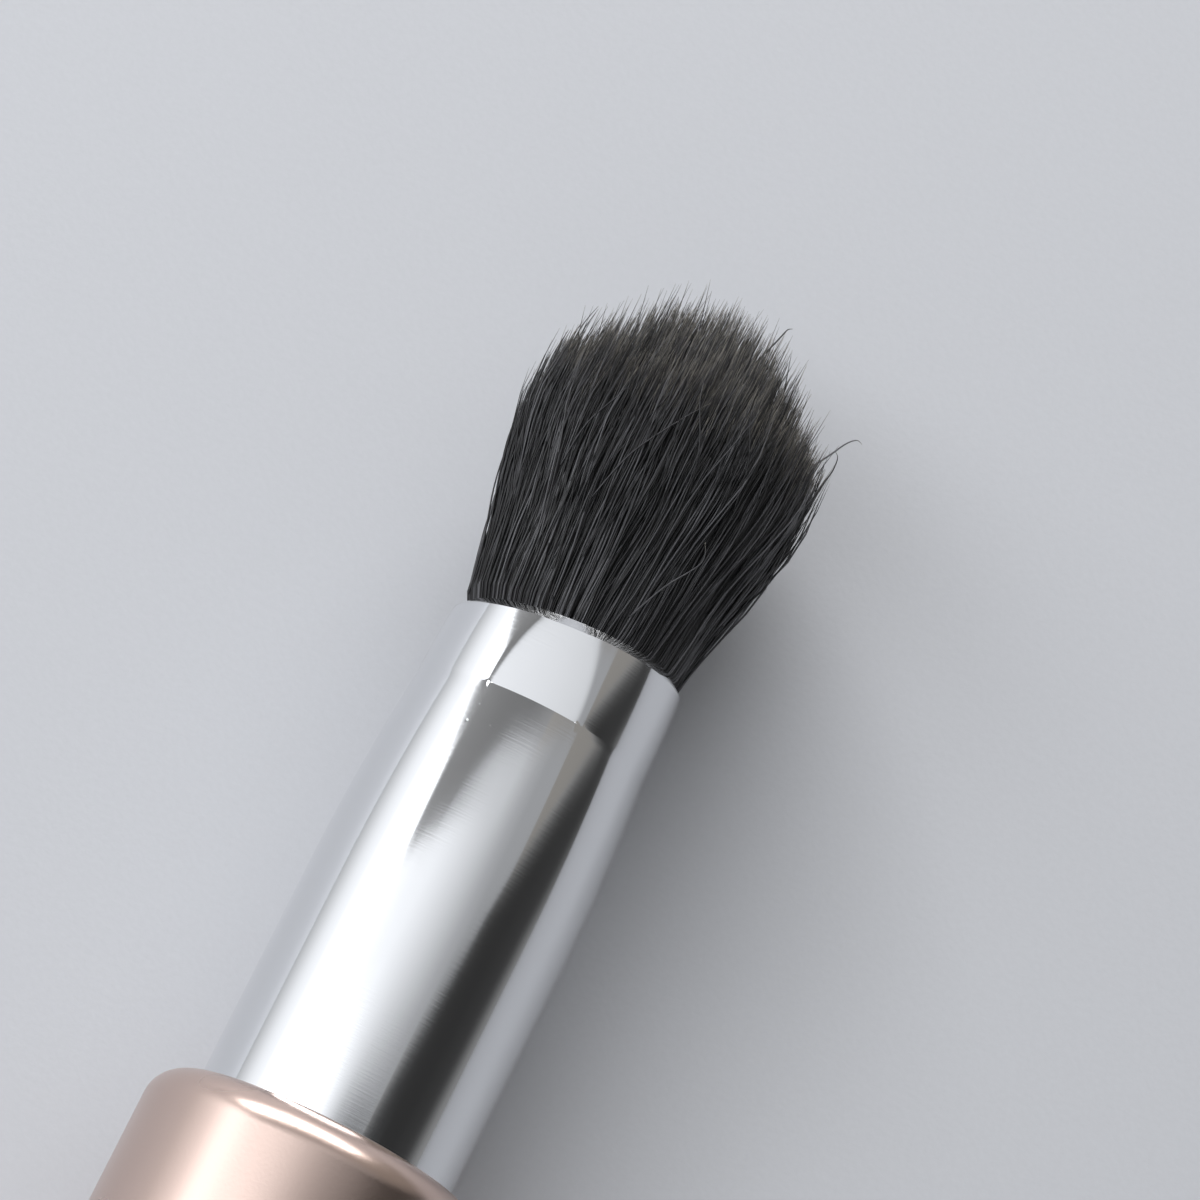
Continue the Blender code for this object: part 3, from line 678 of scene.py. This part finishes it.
    # The whole tuft leans a little to the right, and is cut a little aslant
    leaning = add(tree, "ShaderNodeMapRange",
                  {0: station, 1: 0.0, 2: given["Tip Station"], 4: given["Lean"]})
    aside_now = add(tree, "ShaderNodeSeparateXYZ", {0: flat})
    slanted = add(tree, "ShaderNodeMath", {0: aside_now, 1: given["Slant"], 2: station},
                  operation="MULTIPLY_ADD")
    up = add(tree, "ShaderNodeCombineXYZ", {0: leaning, 2: slanted})
    place = add(tree, "ShaderNodeVectorMath", {0: flat, 1: up}, operation="ADD")
    bent = add(tree, "GeometryNodeSetPosition", {"Geometry": lines, "Position": place})

    # The tip is tapered, and the material reads how near it is and how pale the filament is
    pale = add(tree, "ShaderNodeMapRange", {0: left, 1: given["Fade Reach"], 2: 0.0})
    kept = add(tree, "GeometryNodeStoreNamedAttribute",
               {"Geometry": bent, "Name": "tip_share", "Value": pale})
    tone = add(tree, "FunctionNodeRandomValue", {2: 0.0, 3: 1.0, "ID": number, "Seed": 3}).outputs[1]
    marked = add(tree, "GeometryNodeStoreNamedAttribute",
                 {"Geometry": kept, "Name": "strand_tone", "Value": tone})
    near = add(tree, "ShaderNodeMapRange", {0: left, 1: given["Taper Reach"], 2: 0.0})
    thick = add(tree, "ShaderNodeMapRange", {0: near, 3: 1.0, 4: TIP_THICKNESS_SHARE})
    varied = add(tree, "ShaderNodeMapRange", {0: tone, 3: THINNEST_SHARE, 4: THICKEST_SHARE})
    size = add(tree, "ShaderNodeMath", {0: thick, 1: varied}, operation="MULTIPLY")
    radius = add(tree, "ShaderNodeMath", {0: given["Diameter"], 1: 0.5}, operation="MULTIPLY")
    section = add(tree, "GeometryNodeCurvePrimitiveCircle", {"Resolution": FILAMENT_SIDES, "Radius": radius})
    body = add(tree, "GeometryNodeCurveToMesh",
               {"Curve": marked, "Profile Curve": section, "Scale": size, "Fill Caps": True})
    smooth = add(tree, "GeometryNodeSetShadeSmooth", {0: body})
    laid = add(tree, "GeometryNodeTransform",
               {0: smooth, "Translation": given["Mouth"], "Rotation": (-math.pi / 2, 0.0, 0.0)})
    whole = add(tree, "GeometryNodeRealizeInstances", {0: laid})
    dyed = add(tree, "GeometryNodeSetMaterial", {"Geometry": whole, "Material": given["Material"]})
    add(tree, "NodeGroupOutput", {0: dyed})
    return tree


def grow(tree, name, **values):
    """Run the filament tree with these inputs and return the result as a plain mesh piece."""
    piece = bpy.data.objects.new(name, bpy.data.meshes.new(name))
    bpy.context.scene.collection.objects.link(piece)
    modifier = piece.modifiers.new("Grow", "NODES")
    modifier.node_group = tree
    for socket in tree.interface.items_tree:
        key = socket.name.lower().replace(" ", "_")
        if key in values:
            modifier[socket.identifier] = values[key]
    depsgraph = bpy.context.evaluated_depsgraph_get()
    grown = bpy.data.meshes.new_from_object(piece.evaluated_get(depsgraph))
    piece.modifiers.clear()
    piece.data = grown
    grown.name = name
    return piece


def smooth_course(knots):
    """Return points on a smooth curve through the knots."""
    course = [knots[0]]
    for order in range(len(knots) - 1):
        before = knots[max(0, order - 1)]
        after = knots[min(len(knots) - 1, order + 2)]
        start, end = knots[order], knots[order + 1]
        for step in range(1, HAIR_STEPS + 1):
            share = step / HAIR_STEPS
            one = start * 2 + (end - before) * share
            two = (before * 2 - start * 5 + end * 4 - after) * share ** 2
            three = (start * 3 - before - end * 3 + after) * share ** 3
            course.append((one + two + three) / 2)
    return course


def lay_hair(built, tone, course):
    """Lay one tapered four-sided hair along its course, in a mesh that is being built."""
    tone_layer = built.verts.layers.float["strand_tone"]
    tip_layer = built.verts.layers.float["tip_share"]
    rings = []
    for order, centre in enumerate(course):
        ahead = course[min(len(course) - 1, order + 1)] - course[max(0, order - 1)]
        side = ahead.cross(Vector((0.0, 0.0, 1.0))).normalized()
        up = side.cross(ahead).normalized()
        share = order / (len(course) - 1)
        radius = FILAMENT_DIAMETER / 2 * (1 - LOOSE_TIP_THINNING * share ** 2)
        ring = [built.verts.new(centre + offset * radius) for offset in (side, up, -side, -up)]
        for vert in ring:
            vert[tone_layer] = tone
            vert[tip_layer] = max(0.0, (share - LOOSE_FADE_SHARE) / (1 - LOOSE_FADE_SHARE))
        rings.append(ring)
    for ring, following in zip(rings, rings[1:]):
        for corner in range(FILAMENT_SIDES):
            built.faces.new((ring[corner], ring[corner - 3], following[corner - 3], following[corner]))
    built.faces.new(rings[0][::-1])
    built.faces.new(rings[-1])


def lay_loose_hairs(name, material):
    """Lay the loose hairs where the tuft has them, the hairs of a lock winding about each other a little."""
    built = bmesh.new()
    built.verts.layers.float.new("strand_tone")
    built.verts.layers.float.new("tip_share")
    for count, spacing, tone, points in LOOSE_HAIRS:
        for number in range(count):
            shift = (number - (count - 1) / 2) * spacing * MM
            knots = []
            for order, (x, y, z) in enumerate(points):
                swing = shift * math.cos(THREAD_PHASE * number + KNOT_PHASE * order)
                ahead = LOCK_STAGGER * shift * order
                knots.append(Vector((x * MM + swing, MOUTH_Y + y * MM + ahead,
                                     AXIS_Z + z * MM + shift - swing)))
            lay_hair(built, tone, smooth_course(knots))
    bmesh.ops.recalc_face_normals(built, faces=built.faces)
    mesh = bpy.data.meshes.new(name)
    built.to_mesh(mesh)
    built.free()
    mesh.shade_smooth()
    mesh.materials.append(material)
    piece = bpy.data.objects.new(name, mesh)
    bpy.context.scene.collection.objects.link(piece)
    return piece


def make_tuft(material):
    """The tuft: a core of upright filaments, looser layers round it, a few longer strays and loose hairs."""
    tree = filament_tree()
    common = {"points": FILAMENT_POINTS, "diameter": FILAMENT_DIAMETER, "belly_radius": BELLY_RADIUS,
              "root_station": ROOT_START, "tip_station": TIP_STATION, "dome_fall": DOME_FALL,
              "dome_power": DOME_POWER, "taper_reach": TAPER_REACH, "fade_reach": FADE_REACH,
              "lean": TUFT_LEAN, "slant": TUFT_SLANT, "mouth": (0.0, MOUTH_Y, AXIS_Z), "material": material}
    layers = [grow(tree, **(common | layer)) for layer in HAIR_LAYERS]
    return layers + [lay_loose_hairs("tuft_loose_hairs", material)]


def make_camera():
    """Put the camera where the photograph was taken from, aimed just ahead of the mouth."""
    towards = Vector((-math.sin(VIEW_TURN) * math.cos(VIEW_RISE), math.cos(VIEW_TURN) * math.cos(VIEW_RISE),
                      -math.sin(VIEW_RISE)))
    lens = bpy.data.cameras.new("camera")
    lens.angle = VIEW_ANGLE
    lens.clip_start = 1.0 * MM
    camera = bpy.data.objects.new("camera", lens)
    camera.location = Vector((AIM_RIGHT, MOUTH_Y + AIM_AHEAD, AXIS_Z)) - towards * VIEW_DISTANCE
    camera.rotation_euler = towards.to_track_quat("-Z", "Y").to_euler()
    bpy.context.scene.collection.objects.link(camera)
    bpy.context.scene.camera = camera


def make_floor():
    """Matt laminate table top: pale cool grey, with the fine orange-peel grain of its press plate."""
    material, tree, shader = new_material("matt laminate")
    place = add(tree, "ShaderNodeTexCoord").outputs["Object"]
    # The grain is about 0.2 mm wide
    grain = add(tree, "ShaderNodeTexNoise", {"Vector": place, "Scale": 5 * PER_MM, "Detail": 2.0})
    bump = add(tree, "ShaderNodeBump", {"Height": grain, "Distance": 0.01 * MM, "Strength": 0.5})
    tree.links.new(bump.outputs[0], shader.inputs["Normal"])
    tint = add(tree, "ShaderNodeMix", {0: grain, 6: colour("#C6C8CD"), 7: colour("#CACCD1")},
               data_type="RGBA")
    tree.links.new(tint.outputs[2], shader.inputs["Base Color"])
    shader.inputs["Roughness"].default_value = 0.6
    shader.inputs["Specular IOR Level"].default_value = 0.3
    mesh = bpy.data.meshes.new("table_top")
    mesh.from_pydata([(x * TABLE_REACH, y * TABLE_REACH, FLOOR_Z) for x, y in SQUARE], [], [(0, 1, 2, 3)])
    mesh.materials.append(material)
    floor = bpy.data.objects.new("table_top", mesh)
    bpy.context.scene.collection.objects.link(floor)


def make_card(name, corners, fades, tint="#FFFFFF"):
    """Hang a glowing card in the studio, its corners measured from the point of the table under the mouth.

    Each fade gives levels along one direction, at shares of the way from a start to an end.
    """
    material = bpy.data.materials.new(name)
    material.use_nodes = True
    tree = material.node_tree
    tree.nodes.clear()
    place = add(tree, "ShaderNodeTexCoord").outputs["Object"]
    glowing = colour(tint)
    strength = 1.0
    for direction, start, end, levels in fades:
        along = add(tree, "ShaderNodeVectorMath", {0: place, 1: direction}, operation="DOT_PRODUCT")
        share = add(tree, "ShaderNodeMapRange", {0: along.outputs["Value"], 1: start, 2: end})
        brightest = max(level for where, level in levels)
        strength *= brightest
        ramp = add(tree, "ShaderNodeValToRGB", {0: share})
        while len(ramp.color_ramp.elements) < len(levels):
            ramp.color_ramp.elements.new(0.5)
        for element, (where, level) in zip(ramp.color_ramp.elements, levels):
            element.position = where
            element.color = (level / brightest, level / brightest, level / brightest, 1.0)
        product = add(tree, "ShaderNodeMix", {0: 1.0, 6: glowing, 7: ramp},
                      data_type="RGBA", blend_type="MULTIPLY")
        glowing = product.outputs[2]
    glow = add(tree, "ShaderNodeEmission", {"Color": glowing, "Strength": strength})
    add(tree, "ShaderNodeOutputMaterial", {0: glow})
    mesh = bpy.data.meshes.new(name)
    mesh.from_pydata(corners, [], [tuple(range(len(corners)))])
    mesh.materials.append(material)
    card = bpy.data.objects.new(name, mesh)
    card.location = (0.0, MOUTH_Y, FLOOR_Z)
    card.visible_camera = False
    bpy.context.scene.collection.objects.link(card)


def make_key():
    """Key softbox, ahead of the tip and a little to the left, high enough for a short shadow to the right."""
    towards = Vector((math.cos(KEY_TURN) * math.cos(KEY_RISE), math.sin(KEY_TURN) * math.cos(KEY_RISE),
                      math.sin(KEY_RISE)))
    centre = towards * KEY_DISTANCE
    across = towards.cross(Vector((0.0, 0.0, 1.0))).normalized() * KEY_WIDTH / 2
    up = across.cross(towards).normalized() * KEY_HEIGHT / 2
    corners = [centre - across - up, centre + across - up, centre + across + up, centre - across + up]
    levels = ((0.0, 1.5 * KEY_LEVEL), (1.0, 0.5 * KEY_LEVEL))
    make_card("key_softbox", corners, [(across.normalized(), -KEY_WIDTH / 2, KEY_WIDTH / 2, levels)])


def make_side_wall():
    """White wall at the left, mirrored in the left of the metal: grey at the table, brighter above."""
    outline = [(-20, 0), (145, 0), (135, 80), (116, 150), (108, 200), (98, 270), (-20, 270)]
    levels = ((0.0, 0.56), (0.07, 0.74), (0.15, 0.9), (0.22, 1.05), (0.29, 1.17), (0.41, 1.3), (0.53, 1.8),
              (0.78, 2.2), (0.9, 1.6), (1.0, 1.0))
    make_card("side_wall", [(WALL_X, y * MM, z * MM) for y, z in outline],
              [(UPWARDS, 0.0, WALL_TOP, levels)], tint=CLOTH_TINT)


def make_scrim():
    """Narrow scrim overhead: very bright at its left end, falling away to grey at its right."""
    outline = [(-235, -30), (86, -30), (97, 13), (119, 20), (139, 27), (160, 41), (165, 46), (165, 85),
               (140, 80), (120, 73), (100, 68), (80, 62), (60, 56.5), (40, 53.5), (20, 51.5), (0, 50),
               (-20, 48.5), (-36, 45), (-50, 35), (-60, 32), (-110, 31), (-125, 34), (-138, 48), (-150, 62),
               (-235, 80)]
    levels = ((0.0, 2.8), (0.15, 2.6), (0.25, 2.1), (0.33, 1.45), (0.42, 1.26), (0.5, 1.2), (0.58, 1.03),
              (0.66, 0.83), (0.73, 0.64), (0.79, 0.5), (0.86, 0.42), (1.0, 0.42))
    make_card("top_scrim", [(x * MM, y * MM, SCRIM_RISE) for x, y in outline],
              [((1.0, 0.1, 0.0), SCRIM_LEFT, SCRIM_RIGHT, levels)], tint=CLOTH_TINT)
    # A thinner strip of cloth hangs just under its front edge
    outline = [(-70, 31), (-45, 32), (40, 34), (40, 53.5), (20, 51.5), (0, 50), (-20, 48.5), (-40, 45),
               (-62, 38)]
    levels = ((0.0, 0.42), (0.27, 0.58), (0.45, 0.72), (0.64, 0.77), (0.82, 0.76), (1.0, 0.74))
    make_card("scrim_hem", [(x * MM, y * MM, SCRIM_RISE - HEM_DROP) for x, y in outline],
              [(RIGHTWARDS, HEM_LEFT, HEM_RIGHT, levels)], tint=CLOTH_TINT)


def make_rear_scrim():
    """Second scrim overhead, further back, mirrored mostly in the handle: more contrast across it."""
    outline = [(-225, -40), (165, -40), (165, 8.5), (128, 5.5), (90, 3.5), (0, 3.5), (-60, 6), (-128, 10),
               (-200, 15), (-225, 17)]
    levels = ((0.0, 2.9), (0.27, 2.9), (0.35, 3.0), (0.42, 2.75), (0.49, 2.1), (0.57, 1.15), (0.63, 0.5),
              (0.69, 0.2), (0.75, 0.1), (1.0, 0.06))
    make_card("rear_scrim", [(x * MM, y * MM, SCRIM_RISE - HEM_DROP) for x, y in outline],
              [(RIGHTWARDS, REAR_SCRIM_LEFT, REAR_SCRIM_RIGHT, levels)], tint=CLOTH_TINT)


def make_ceiling():
    """Grey ceiling above everything else, darker in the middle."""
    levels = ((0.0, 0.32), (0.35, 0.24), (0.5, 0.18), (0.54, 0.22), (0.58, 0.3), (0.62, 0.34), (1.0, 0.34))
    make_card("grey_ceiling", [(x * CEILING_REACH, y * CEILING_REACH, CEILING_RISE) for x, y in SQUARE],
              [(RIGHTWARDS, -CEILING_REACH, CEILING_REACH, levels)])


def make_flags():
    """Black flag at the right, its slanted upper edge out of focus, and a low flag in front of it."""
    outline = [(-320, 0), (86, 0), (84, 60), (80, 100), (72, 140), (62, 180), (58, 220), (56, 310),
               (-320, 310)]
    rising = ((0.0, 0.3), (0.1, 0.28), (0.2, 0.23), (0.28, 0.165), (0.36, 0.105), (0.44, 0.065), (0.52, 0.05),
              (0.6, 0.045), (1.0, 0.035))
    # Towards the edge the flag lets ever more light past, up to what the wall behind it gives
    edge = ((0.0, 1.0), (0.2, 1.5), (0.35, 2.2), (0.45, 3.0), (0.55, 4.0), (0.65, 5.4), (0.75, 7.7),
            (1.0, 11.0))
    make_card("dark_flag", [(FLAG_X, y * MM, z * MM) for y, z in outline],
              [((0.0, 0.62, 0.78), 0.0, FLAG_FADE_END, rising),
               ((0.0, 0.98, 0.2), FLAG_EDGE_START, FLAG_EDGE_END, edge)])
    outline = [(66, 0), (122, 0), (114, 40), (76, 55)]
    levels = ((0.0, 0.085), (0.4, 0.06), (0.6, 0.07), (1.0, 0.2))
    make_card("low_flag", [(FLAG_X - LOW_FLAG_GAP, y * MM, z * MM) for y, z in outline],
              [(UPWARDS, 0.0, LOW_FLAG_TOP, levels)])


def make_back_wall():
    """Grey wall behind the flags, as high as the ceiling."""
    corners = [(BACK_WALL_X, y * MM, z * CEILING_RISE) for y, z in ((-400, 0), (500, 0), (500, 1), (-400, 1))]
    make_card("grey_wall", corners, [(UPWARDS, 0.0, CEILING_RISE, ((0.0, 0.3), (1.0, 0.34)))],
              tint=WARM_TINT)


def make_studio():
    """The cards that the metal mirrors and the tuft is lit by."""
    make_key()
    make_side_wall()
    make_scrim()
    make_rear_scrim()
    make_ceiling()
    make_flags()
    make_back_wall()


def make_world():
    """Pale surround for the eye and for mirrors, and a weak even light for everything else."""
    world = bpy.data.worlds.new("surround")
    bpy.context.scene.world = world
    world.use_nodes = True
    tree = world.node_tree
    tree.nodes.clear()
    path = add(tree, "ShaderNodeLightPath").outputs
    seen = add(tree, "ShaderNodeMath", {0: path["Is Camera Ray"], 1: path["Is Glossy Ray"]},
               operation="MAXIMUM")
    shown = add(tree, "ShaderNodeMath", {0: seen, 1: path["Is Transmission Ray"]}, operation="MAXIMUM")
    strength = add(tree, "ShaderNodeMapRange", {0: shown, 3: SURROUND_LIGHT, 4: 1.0})
    light = add(tree, "ShaderNodeBackground", {"Color": colour("#C8CACF"), "Strength": strength})
    add(tree, "ShaderNodeOutputWorld", {0: light})


aluminium = polished_aluminium()
rose_gold = rose_gold_anodised()
filament = black_filament()
epoxy = cured_epoxy()

ferrule = make_ferrule(aluminium)
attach(ferrule, "root")
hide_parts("ferrule")

handle = make_handle(rose_gold)
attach(handle, "root")
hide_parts("handle_shell")

cap = make_end_cap(rose_gold)
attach(cap, "root")
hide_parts("end_cap")

for part in (make_tuft_root(filament), *make_tuft(filament)):
    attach(part, "root")
    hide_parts("bristle_tuft")

inner_materials = {
    "binding_thread": waxed_thread(),
    "root_adhesive": epoxy,
    "tenon_adhesive": epoxy,
    "handle_core": moulded_plastic(),
}
for name, material in inner_materials.items():
    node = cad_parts[name]
    node.data.materials.clear()
    node.data.materials.append(material)

make_camera()
make_floor()
make_studio()
make_world()
bpy.context.scene.view_settings.view_transform = "Standard"
